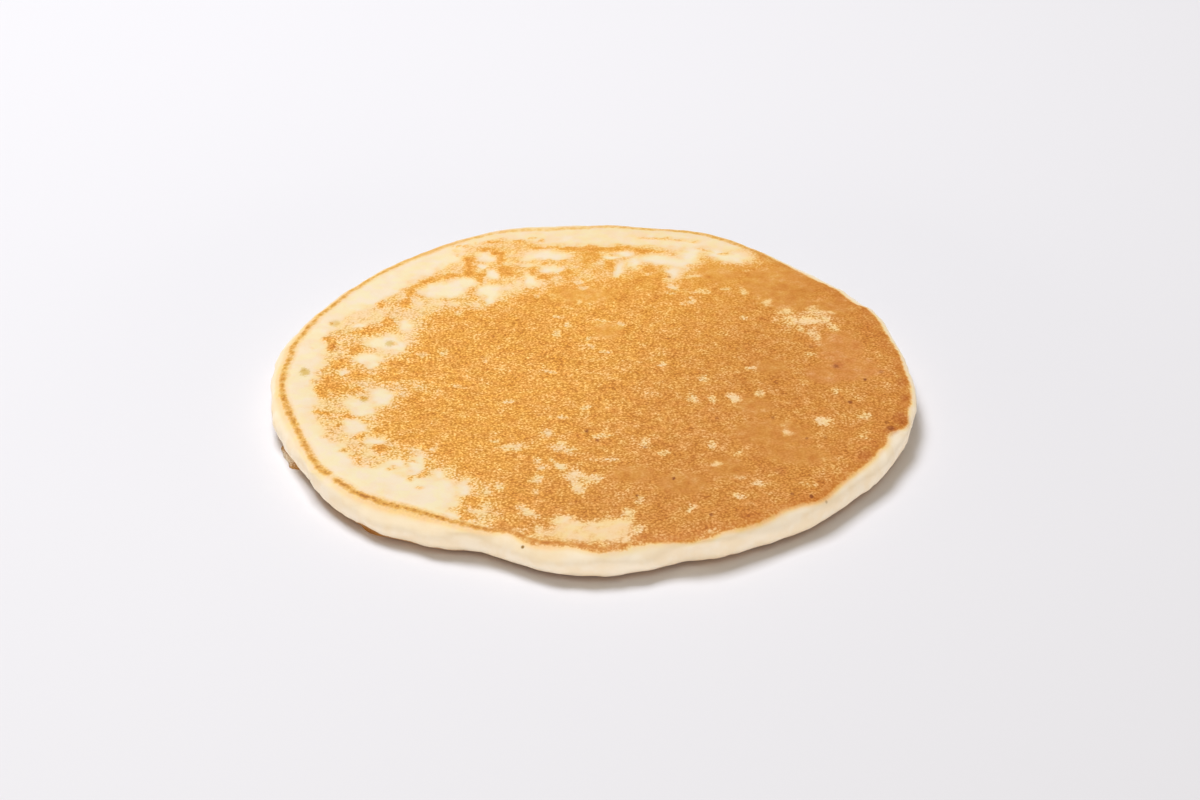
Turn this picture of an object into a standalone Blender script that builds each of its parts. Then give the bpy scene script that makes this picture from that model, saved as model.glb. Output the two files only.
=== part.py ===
"""A gluten-free pancake, about 150 mm across and 8 mm thick, lying with its browned face up.

Metres, +Z up. The origin is the middle of the flat underside, +X is to the right and -Y is
towards the viewer. The pancake is one closed solid. A round blank is turned from its section,
and its rim is then let out and drawn in from bearing to bearing, the way poured batter spreads.
"""

import math

import bmesh
import bpy

MM = 0.001

# Driving dimensions: the oval that the batter spread to, and how thick it rose.
HALF_WIDTH = 74.3 * MM
HALF_DEPTH = 77.6 * MM
THICKNESS = 8.0 * MM

# The rim's section: the belly is the rounded lower half of the wall, and the shoulder is the
# rounded upper half that runs in to the level top.
WIDEST_HEIGHT = 0.55 * THICKNESS
BELLY_TUCK = 7.0 * MM
SHOULDER_RUN = 7.0 * MM
BELLY_FULLNESS = 2.4
SHOULDER_FULLNESS = 3.0
BELLY_STEPS = 6
SHOULDER_STEPS = 7

# How far inside the wall's widest line the crust's brown edge lies, in general.
CRUST_SETBACK = 2.0 * MM

# The mesh: segments round the rim, and rings across the level top.
SEGMENTS = 144
TOP_RINGS = 12

# Where the batter ran out or stopped short. Each lobe is a bearing in degrees, anticlockwise
# from +X, how far the wall stands out there (in, if negative), and how many degrees it spreads.
WALL_LOBES = (
    (10, -0.8 * MM, 10),
    (27, 0.4 * MM, 5),
    (45, -1.4 * MM, 9),
    (70, 3.0 * MM, 11),
    (89, 1.0 * MM, 8),
    (108, 1.7 * MM, 10),
    (151, -1.5 * MM, 16),
    (174, 0.9 * MM, 10),
    (198, 0.7 * MM, 10),
    (226, 1.6 * MM, 9),
    (234, 0.8 * MM, 3),
    (252, -3.6 * MM, 8),
    (268, 0.9 * MM, 6),
    (286, -2.3 * MM, 6),
    (300, -1.8 * MM, 10),
    (320, -1.5 * MM, 13),
    (345, -0.3 * MM, 9),
)

# Where the crust's edge lies further in from the wall, or nearer to it, in the same terms.
CRUST_LOBES = (
    (8, -0.5 * MM, 20),
    (72, -0.8 * MM, 45),
    (150, 0.8 * MM, 24),
    (173, 1.2 * MM, 12),
    (200, 1.3 * MM, 9),
    (215, -0.8 * MM, 5),
    (237, 2.3 * MM, 8),
    (249, -0.8 * MM, 4),
    (264, 0.7 * MM, 5),
    (279, 2.0 * MM, 4),
    (288, -1.8 * MM, 5),
    (303, 0.9 * MM, 4),
    (345, -1.0 * MM, 9),
)
LEAST_SETBACK = 0.4 * MM

# The thin browned edge of the underside, which stands out below the wall in two places.
FOOT_HEIGHT = 1.6 * MM
FOOT_LOBES = (
    (205, 2.2 * MM, 4),
    (230, 0.9 * MM, 6),
)

# Slow swells of the top face: the way each one runs in degrees, its wavelength, its phase in
# degrees and its height.
TOP_SWELLS = (
    (20, 95 * MM, 40, 0.22 * MM),
    (110, 70 * MM, 200, 0.16 * MM),
    (65, 48 * MM, 90, 0.10 * MM),
)

# The pale band that the pan didn't brown lies a little lower than the crust. It runs round the
# rear and left from one bearing to the other, inside the crust's edge.
PALE_BAND_FROM = 62
PALE_BAND_TO = 252
PALE_BAND_FADE = 12
PALE_BAND_WIDTH = 12 * MM
PALE_BAND_DEPTH = 0.25 * MM

# Other spots that didn't touch the pan: centre, length, width and depth.
PALE_HOLLOWS = (
    ((0 * MM, -67 * MM), 20 * MM, 9 * MM, 0.30 * MM),
    ((-37 * MM, 40 * MM), 14 * MM, 9 * MM, 0.25 * MM),
    ((-12 * MM, 59 * MM), 15 * MM, 6 * MM, 0.25 * MM),
    ((51 * MM, 27 * MM), 10 * MM, 13 * MM, 0.25 * MM),
    ((-49 * MM, 14 * MM), 11 * MM, 8 * MM, 0.25 * MM),
    ((-36 * MM, -53 * MM), 15 * MM, 10 * MM, 0.25 * MM),
    ((-3 * MM, -48 * MM), 8 * MM, 12 * MM, 0.25 * MM),
)

# sRGB colours of the browned face and of the pale crumb that shows at the rim and underneath.
CRUST_COLOUR = (231, 167, 86)
CRUMB_COLOUR = (245, 219, 175)
CRUST_ROUGHNESS = 0.55
CRUMB_ROUGHNESS = 0.75

MERGE_DISTANCE = 0.01 * MM


def ease(value):
    """0 below 0, 1 above 1, and a smooth step between."""
    value = min(1.0, max(0.0, value))
    return value * value * (3.0 - 2.0 * value)


def lobes_at(lobes, bearing):
    """The sum of the lobes' reach at a bearing in degrees."""
    total = 0.0
    for centre, reach, spread in lobes:
        turn = (bearing - centre + 180.0) % 360.0 - 180.0
        total += reach * math.exp(-((turn / spread) ** 2))
    return total


def wall_radius(bearing):
    """From the centre to the wall's widest line."""
    along = math.cos(math.radians(bearing)) / HALF_WIDTH
    across = math.sin(math.radians(bearing)) / HALF_DEPTH
    return 1.0 / math.hypot(along, across) + lobes_at(WALL_LOBES, bearing)


def crust_setback(bearing):
    """From the wall's widest line in to the crust's edge."""
    return max(LEAST_SETBACK, CRUST_SETBACK + lobes_at(CRUST_LOBES, bearing))


def blank_section():
    """The blank's section from the middle of the underside, out round the wall, to the top."""
    points = [(0.0, 0.0)]
    for step in range(BELLY_STEPS):
        turn = math.radians(90.0) * step / BELLY_STEPS
        inset = BELLY_TUCK * (1.0 - math.sin(turn) ** (2.0 / BELLY_FULLNESS))
        height = WIDEST_HEIGHT * (1.0 - math.cos(turn) ** (2.0 / BELLY_FULLNESS))
        points.append((HALF_WIDTH - inset, height))
    for step in range(SHOULDER_STEPS + 1):
        turn = math.radians(90.0) * step / SHOULDER_STEPS
        inset = SHOULDER_RUN * (1.0 - math.cos(turn) ** (2.0 / SHOULDER_FULLNESS))
        rise = (THICKNESS - WIDEST_HEIGHT) * math.sin(turn) ** (2.0 / SHOULDER_FULLNESS)
        points.append((HALF_WIDTH - inset, WIDEST_HEIGHT + rise))
    top_radius = HALF_WIDTH - SHOULDER_RUN
    for ring in range(1, TOP_RINGS + 1):
        points.append((top_radius * (1.0 - ring / TOP_RINGS), THICKNESS))
    return points


def spread(point):
    """Where a point of the round blank lies once the batter has run to its outline."""
    radius = math.hypot(point.x, point.y)
    if radius < MERGE_DISTANCE:
        return 0.0, 0.0
    bearing = math.degrees(math.atan2(point.y, point.x)) % 360.0
    share = (radius / HALF_WIDTH) ** 2
    outward = (wall_radius(bearing) - HALF_WIDTH) * share
    above_widest = ease((point.z - WIDEST_HEIGHT) / (0.85 * (THICKNESS - WIDEST_HEIGHT)))
    inward = (crust_setback(bearing) - CRUST_SETBACK) * share * above_widest
    at_foot = 1.0 - ease((point.z - FOOT_HEIGHT / 2) / FOOT_HEIGHT)
    foot = lobes_at(FOOT_LOBES, bearing) * at_foot * share
    scale = (radius + outward - inward + foot) / radius
    return point.x * scale, point.y * scale


def top_relief(x, y):
    """How far the top face stands above or below its level plane."""
    height = 0.0
    for way, wavelength, phase, amplitude in TOP_SWELLS:
        along = x * math.cos(math.radians(way)) + y * math.sin(math.radians(way))
        height += amplitude * math.sin(math.tau * along / wavelength + math.radians(phase))
    bearing = math.degrees(math.atan2(y, x)) % 360.0
    crust_edge = wall_radius(bearing) - crust_setback(bearing)
    inside = (crust_edge - math.hypot(x, y)) / PALE_BAND_WIDTH
    sector = ease((bearing - PALE_BAND_FROM) / PALE_BAND_FADE)
    sector *= ease((PALE_BAND_TO - bearing) / PALE_BAND_FADE)
    height -= PALE_BAND_DEPTH * sector * ease(inside * 3.0) * ease((1.0 - inside) * 3.0)
    for (centre_x, centre_y), length, width, depth in PALE_HOLLOWS:
        away = math.hypot((x - centre_x) / (length / 2), (y - centre_y) / (width / 2))
        height -= depth * ease(1.5 - away)
    return height


def material(name, colour, roughness):
    """A plain matte material from an sRGB colour of 0 to 255."""
    linear = [(channel / 255.0) ** 2.2 for channel in colour]
    made = bpy.data.materials.new(name)
    made.use_nodes = True
    shader = made.node_tree.nodes["Principled BSDF"]
    shader.inputs["Base Color"].default_value = (*linear, 1.0)
    shader.inputs["Roughness"].default_value = roughness
    shader.inputs["Metallic"].default_value = 0.0
    return made


def turned_blank(bm):
    """Spins the section once round Z and closes its poles."""
    corners = [bm.verts.new((radius, 0.0, height)) for radius, height in blank_section()]
    edges = [bm.edges.new(pair) for pair in zip(corners, corners[1:])]
    bmesh.ops.spin(
        bm,
        geom=corners + edges,
        cent=(0.0, 0.0, 0.0),
        axis=(0.0, 0.0, 1.0),
        angle=math.tau,
        steps=SEGMENTS,
        use_merge=True,
    )
    bmesh.ops.remove_doubles(bm, verts=bm.verts, dist=MERGE_DISTANCE)
    bmesh.ops.recalc_face_normals(bm, faces=bm.faces)


def run_out(bm):
    """Moves the blank's points out to the real outline and gives the top its relief."""
    for vert in bm.verts:
        x, y = spread(vert.co)
        raised = ease((vert.co.z - WIDEST_HEIGHT) / (THICKNESS - WIDEST_HEIGHT))
        vert.co = (x, y, vert.co.z + raised * top_relief(x, y))


def centre_on_underside(bm):
    """Puts the origin at the middle of the pancake's length and width."""
    across = [vert.co.x for vert in bm.verts]
    along = [vert.co.y for vert in bm.verts]
    middle = ((min(across) + max(across)) / 2, (min(along) + max(along)) / 2, 0.0)
    bmesh.ops.translate(bm, verts=bm.verts, vec=[-part for part in middle])


def is_crust(face):
    """True for the faces of the browned top, inside the crust's edge."""
    middle = face.calc_center_median()
    bearing = math.degrees(math.atan2(middle.y, middle.x)) % 360.0
    crust_edge = wall_radius(bearing) - crust_setback(bearing)
    return middle.z > WIDEST_HEIGHT and math.hypot(middle.x, middle.y) < crust_edge


def make_pancake():
    """The pancake as one object with a browned crust and pale crumb."""
    bm = bmesh.new()
    turned_blank(bm)
    run_out(bm)
    centre_on_underside(bm)
    for face in bm.faces:
        face.material_index = 0 if is_crust(face) else 1
    mesh = bpy.data.meshes.new("pancake")
    bm.to_mesh(mesh)
    bm.free()
    mesh.materials.append(material("browned_crust", CRUST_COLOUR, CRUST_ROUGHNESS))
    mesh.materials.append(material("pale_crumb", CRUMB_COLOUR, CRUMB_ROUGHNESS))
    mesh.shade_smooth()
    pancake = bpy.data.objects.new("pancake", mesh)
    bpy.context.scene.collection.objects.link(pancake)


for old in list(bpy.data.objects):
    bpy.data.objects.remove(old, do_unlink=True)
make_pancake()
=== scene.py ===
import math

import bmesh
import bpy
import numpy as np
from mathutils import Matrix, Vector, noise


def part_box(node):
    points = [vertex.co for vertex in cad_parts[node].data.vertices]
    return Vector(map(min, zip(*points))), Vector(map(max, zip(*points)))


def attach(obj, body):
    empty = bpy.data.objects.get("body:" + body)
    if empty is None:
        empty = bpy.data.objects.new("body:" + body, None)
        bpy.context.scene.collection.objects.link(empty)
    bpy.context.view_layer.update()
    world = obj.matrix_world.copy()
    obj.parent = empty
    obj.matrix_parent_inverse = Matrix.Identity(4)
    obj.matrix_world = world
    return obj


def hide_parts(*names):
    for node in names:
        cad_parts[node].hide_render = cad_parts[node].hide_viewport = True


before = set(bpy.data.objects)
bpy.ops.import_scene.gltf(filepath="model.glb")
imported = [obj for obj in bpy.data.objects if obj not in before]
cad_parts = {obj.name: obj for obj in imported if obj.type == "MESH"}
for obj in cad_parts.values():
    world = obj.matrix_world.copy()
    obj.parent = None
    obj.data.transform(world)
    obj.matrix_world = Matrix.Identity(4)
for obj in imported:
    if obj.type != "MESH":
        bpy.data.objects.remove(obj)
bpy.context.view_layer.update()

# The pancake. Gluten-free batter was poured in a pan, ran out to an uneven round and rose a
# little as it set, so it is one soft springy crumb with a rounded rim. Its face was then browned
# against the pan, except where it didn't touch, and it is served with that face up.
MM = 0.001
HALF_WIDTH = 74.3 * MM
HALF_DEPTH = 77.6 * MM
THICKNESS = 8.0 * MM
WIDEST_HEIGHT = 0.55 * THICKNESS
BELLY_TUCK = 7.0 * MM
SHOULDER_RUN = 7.0 * MM
BELLY_FULLNESS = 2.4
SHOULDER_FULLNESS = 3.0
CRUST_SETBACK = 2.0 * MM

# How finely the round blank is cut.
SEGMENTS = 560
SLICES = 8
UNDERSIDE_RINGS = 24
BELLY_STEPS = 13
SHOULDER_STEPS = 16
TOP_RINGS = 118
MERGE_DISTANCE = 0.0001 * MM

# Where the batter ran out or stopped short: a bearing in degrees anticlockwise from +X, how far
# the wall stands out there, and how many degrees it spreads.
WALL_LOBES = (
    (10, -0.8 * MM, 10),
    (26, 0.7 * MM, 5),
    (28, 0.6 * MM, 1.1),
    (37, 0.8 * MM, 4),
    (43, -0.3 * MM, 9),
    (70, 3.0 * MM, 11),
    (89, 1.0 * MM, 8),
    (108, 1.7 * MM, 10),
    (151, -1.5 * MM, 16),
    (174, 0.9 * MM, 10),
    (198, 0.7 * MM, 10),
    (203.5, -0.6 * MM, 4),
    (226, 1.6 * MM, 9),
    (234, 0.8 * MM, 3),
    (252, -3.6 * MM, 8),
    (268, 0.9 * MM, 6),
    (286, -2.3 * MM, 6),
    (300, -1.8 * MM, 10),
    (320, -1.5 * MM, 13),
    (345, -0.3 * MM, 9),
)

# Where the shoulder is steeper or flatter, in the same terms.
SHOULDER_LOBES = (
    (8, -0.5 * MM, 20),
    (72, -0.8 * MM, 45),
    (150, 0.8 * MM, 24),
    (173, 1.2 * MM, 12),
    (200, 1.3 * MM, 9),
    (203.5, -0.6 * MM, 4),
    (215, -0.8 * MM, 5),
    (237, 2.3 * MM, 8),
    (249, -0.8 * MM, 4),
    (264, 0.7 * MM, 5),
    (279, 2.0 * MM, 4),
    (288, -1.8 * MM, 5),
    (303, 0.9 * MM, 4),
    (345, -1.0 * MM, 9),
)
LEAST_SETBACK = 0.4 * MM

# The thin browned edge of the underside stands out below the wall here.
FOOT_LOBES = (
    (198.6, 6.5 * MM, 2.5),
    (202.5, 7.6 * MM, 2.7),
    (206.2, 7.2 * MM, 2.2),
    (219, 5.4 * MM, 7),
    (231, 6.6 * MM, 5),
    (241, 4.5 * MM, 6),
)
FOOT_RAGGEDNESS = 0.5 * MM
FOOT_RAGGEDNESS_SIZE = 1.8 * MM

# The crust's brown edge, as a distance along the surface from the middle of the top, and where
# it lies further out or in.
CRUST_EDGE = 73.3 * MM
EDGE_LOBES = (
    (30, -1.4 * MM, 32),
    (31.5, -0.7 * MM, 3),
    (46, -1.0 * MM, 8),
    (100, -1.7 * MM, 12),
    (246, -0.7 * MM, 4),
    (256, -1.4 * MM, 2.5),
    (267, -1.3 * MM, 3.5),
    (292, -1.0 * MM, 2.5),
    (307, -0.8 * MM, 4),
    (320, -0.8 * MM, 5),
    (331, -1.5 * MM, 7),
    (337.8, -1.2 * MM, 2.2),
    (339.5, -1.2 * MM, 2.2),
    (348, -0.9 * MM, 3),
    (357, -0.4 * MM, 8),
)


def ease(value):
    """0 below 0, 1 above 1, and a smooth step between."""
    value = np.clip(value, 0.0, 1.0)
    return value * value * (3.0 - 2.0 * value)


def lobes_at(lobes, bearing):
    """The sum of the lobes' reach at each bearing."""
    total = np.zeros_like(bearing)
    for centre, reach, spread in lobes:
        turn = (bearing - centre + 180.0) % 360.0 - 180.0
        total += reach * np.exp(-((turn / spread) ** 2))
    return total


def quarter_turns(steps):
    """Angles of 0 up to and with 90 degrees, in radians."""
    return [math.radians(90.0) * step / steps for step in range(steps + 1)]


def blank_section():
    """The round blank's section, from the middle of the underside out to the rim and over it."""
    foot_radius = HALF_WIDTH - BELLY_TUCK
    points = [(foot_radius * ring / UNDERSIDE_RINGS, 0.0) for ring in range(UNDERSIDE_RINGS)]
    for turn in quarter_turns(BELLY_STEPS)[:-1]:
        inset = BELLY_TUCK * (1.0 - math.sin(turn) ** (2.0 / BELLY_FULLNESS))
        height = WIDEST_HEIGHT * (1.0 - math.cos(turn) ** (2.0 / BELLY_FULLNESS))
        points.append((HALF_WIDTH - inset, height))
    for turn in quarter_turns(SHOULDER_STEPS):
        inset = SHOULDER_RUN * (1.0 - math.cos(turn) ** (2.0 / SHOULDER_FULLNESS))
        rise = (THICKNESS - WIDEST_HEIGHT) * math.sin(turn) ** (2.0 / SHOULDER_FULLNESS)
        points.append((HALF_WIDTH - inset, WIDEST_HEIGHT + rise))
    top_radius = HALF_WIDTH - SHOULDER_RUN
    for ring in range(TOP_RINGS - 1, -1, -1):
        points.append((top_radius * ring / TOP_RINGS, THICKNESS))
    return points


def turned_blank():
    """The section turned once round Z: one slice is spun, and the others are copies of it.

    The run layer is the distance along the section from the top's middle.
    """
    bm = bmesh.new()
    run_layer = bm.verts.layers.float.new("run")
    section = blank_section()
    corners = [bm.verts.new((radius, 0.0, height)) for radius, height in section]
    run = 0.0
    for corner, before in zip(reversed(corners), [corners[-1]] + corners[:0:-1]):
        run += (corner.co - before.co).length
        corner[run_layer] = run
    edges = [bm.edges.new(pair) for pair in zip(corners, corners[1:])]
    bmesh.ops.spin(
        bm,
        geom=corners + edges,
        cent=(0.0, 0.0, 0.0),
        axis=(0.0, 0.0, 1.0),
        angle=math.tau / SLICES,
        steps=SEGMENTS // SLICES,
        use_merge=False,
    )
    slice_geometry = bm.verts[:] + bm.edges[:] + bm.faces[:]
    for turn in range(1, SLICES):
        copy = bmesh.ops.duplicate(bm, geom=slice_geometry)["geom"]
        bmesh.ops.rotate(
            bm,
            verts=[part for part in copy if isinstance(part, bmesh.types.BMVert)],
            cent=(0.0, 0.0, 0.0),
            matrix=Matrix.Rotation(math.tau * turn / SLICES, 3, "Z"),
        )
    bmesh.ops.remove_doubles(bm, verts=bm.verts, dist=MERGE_DISTANCE)
    bmesh.ops.recalc_face_normals(bm, faces=bm.faces)
    mesh = bpy.data.meshes.new("pancake_visual")
    bm.to_mesh(mesh)
    bm.free()
    return mesh


def read_points(mesh):
    """The mesh's points as rows of x, y and z."""
    flat = np.empty(len(mesh.vertices) * 3)
    mesh.vertices.foreach_get("co", flat)
    return flat.reshape(-1, 3)


def read_layer(mesh, name):
    """One number for each point of the mesh."""
    values = np.empty(len(mesh.vertices))
    mesh.attributes[name].data.foreach_get("value", values)
    return values


def keep_layer(mesh, name, values):
    """Stores one number for each point, for the material to read."""
    layer = mesh.attributes.get(name) or mesh.attributes.new(name, "FLOAT", "POINT")
    layer.data.foreach_set("value", values)


def rough(points, size, shift):
    """Smooth noise of -1 to 1 at each point, with humps about as wide as size."""
    return np.array([noise.noise(spot) for spot in (points / size + shift).tolist()])


def layered(points, layers):
    """The sum of several roughs: how strong and wide each one's humps are, and its shift."""
    return sum(strength * rough(points, size, shift) for strength, size, shift in layers)


pancake_mesh = turned_blank()
blank = read_points(pancake_mesh)
run = read_layer(pancake_mesh, "run")
radius = np.hypot(blank[:, 0], blank[:, 1])
height = blank[:, 2]
bearing = np.degrees(np.arctan2(blank[:, 1], blank[:, 0])) % 360.0
share = (radius / HALF_WIDTH) ** 2

# The blank runs out to the real outline. Its wall gets the batter's soft lumps and wrinkles.
WALL_LUMP = 0.45 * MM
WALL_LUMP_SIZE = 9 * MM
WALL_KNOB = 0.55 * MM
WALL_KNOB_SIZE = 3.8 * MM
WALL_KNOB_LOBES = (
    (335, -0.42 * MM, 42),
    (175, -0.20 * MM, 20),
)
WALL_WRINKLE = 0.18 * MM
WALL_WRINKLE_SIZE = 1.8 * MM
RIM_WANDER = 0.22 * MM
RIM_WANDER_SIZE = 3.2 * MM
SHOULDER_SHARE = 0.85
WALL_FADE = 3 * MM
FOOT_FADE = 1 * MM

along_x = np.cos(np.radians(bearing)) / HALF_WIDTH
along_y = np.sin(np.radians(bearing)) / HALF_DEPTH
wall_radius = 1.0 / np.hypot(along_x, along_y) + lobes_at(WALL_LOBES, bearing)
setback = np.maximum(LEAST_SETBACK, CRUST_SETBACK + lobes_at(SHOULDER_LOBES, bearing))
on_shoulder = ease((height - WIDEST_HEIGHT) / (SHOULDER_SHARE * (THICKNESS - WIDEST_HEIGHT)))
tucked = np.clip((HALF_WIDTH - radius) / BELLY_TUCK, 0.0, 1.0)
at_foot = np.where(height < WIDEST_HEIGHT, tucked**2, 0.0)
on_wall = ease((radius - HALF_WIDTH + SHOULDER_RUN) / WALL_FADE) * ease(height / FOOT_FADE)
reach = (wall_radius - HALF_WIDTH) * share
reach -= (setback - CRUST_SETBACK) * share * on_shoulder
reach += lobes_at(FOOT_LOBES, bearing) * at_foot * share
reach += FOOT_RAGGEDNESS * rough(blank, FOOT_RAGGEDNESS_SIZE, 13.7) * at_foot * on_wall
reach += WALL_LUMP * rough(blank, WALL_LUMP_SIZE, 3.1) * on_wall
knob = WALL_KNOB + lobes_at(WALL_KNOB_LOBES, bearing)
reach += knob * rough(blank, WALL_KNOB_SIZE, 5.3) * on_wall * (1.0 - on_shoulder)
reach += WALL_WRINKLE * rough(blank, WALL_WRINKLE_SIZE, 7.7) * on_wall
reach += RIM_WANDER * rough(blank, RIM_WANDER_SIZE, 9.1) * on_wall * on_shoulder
points = blank.copy()
points[:, :2] *= (1.0 + reach / np.maximum(radius, MERGE_DISTANCE))[:, None]
middle = (points.max(axis=0) + points.min(axis=0)) / 2
points[:, :2] -= middle[:2]
inside = CRUST_EDGE + lobes_at(EDGE_LOBES, bearing) - run

# Where the pan browned the face. The dense brown lies to the right of this line, which runs
# from the rear edge round the left to the front edge, in millimetres.
BROWN_SIDE = (
    (39.5, 90), (39.5, 68), (38.3, 64), (39.5, 60), (38.5, 57), (35.5, 57), (31, 58.5),
    (29, 60.5), (26.5, 59.5), (25, 57), (22.7, 56), (23, 52), (21, 49), (19, 45), (17, 54),
    (12, 54.5), (8, 50), (6, 47), (3, 50), (-3, 46), (-9, 44), (-14, 41), (-17, 40),
    (-21, 36.5), (-24, 33), (-27, 30.5), (-31, 31.5), (-36, 30), (-40, 27), (-42, 22),
    (-42, 15), (-43, 10), (-45, 6.5), (-49, 5), (-50, 2), (-51, -1), (-52, -5), (-48, -9),
    (-45.5, -11), (-46, -18), (-48.5, -20), (-48, -22), (-50, -25), (-49, -28), (-50, -31),
    (-46, -32), (-43.5, -36), (-42, -40), (-36, -40), (-35, -44), (-31.5, -46), (-30.5, -49),
    (-27, -49.5), (-25, -53), (-24, -57), (-21, -60), (-22, -66), (-22, -90), (90, -90),
    (90, 90),
)

# Round it lies a half-browned lace, out to this second line.
LACE_SIDE = (
    (39.5, 90), (39.5, 66), (26, 66), (14, 66), (2, 66), (-10, 65), (-20, 67), (-29, 66),
    (-34, 57), (-40, 48), (-46, 44), (-50, 37), (-55, 31), (-61, 24), (-64, 12), (-64, 2),
    (-64, -12), (-63, -22), (-60, -34), (-54, -42), (-47, -48), (-40, -48), (-34, -50),
    (-30, -54), (-29, -62), (-29, -90), (90, -90), (90, 90),
)
CRESCENT_LEVEL = -0.88
REAR_LEVEL = -0.78
LACE_LEVEL = -0.44
BROWN_LEVEL = 0.44

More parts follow.
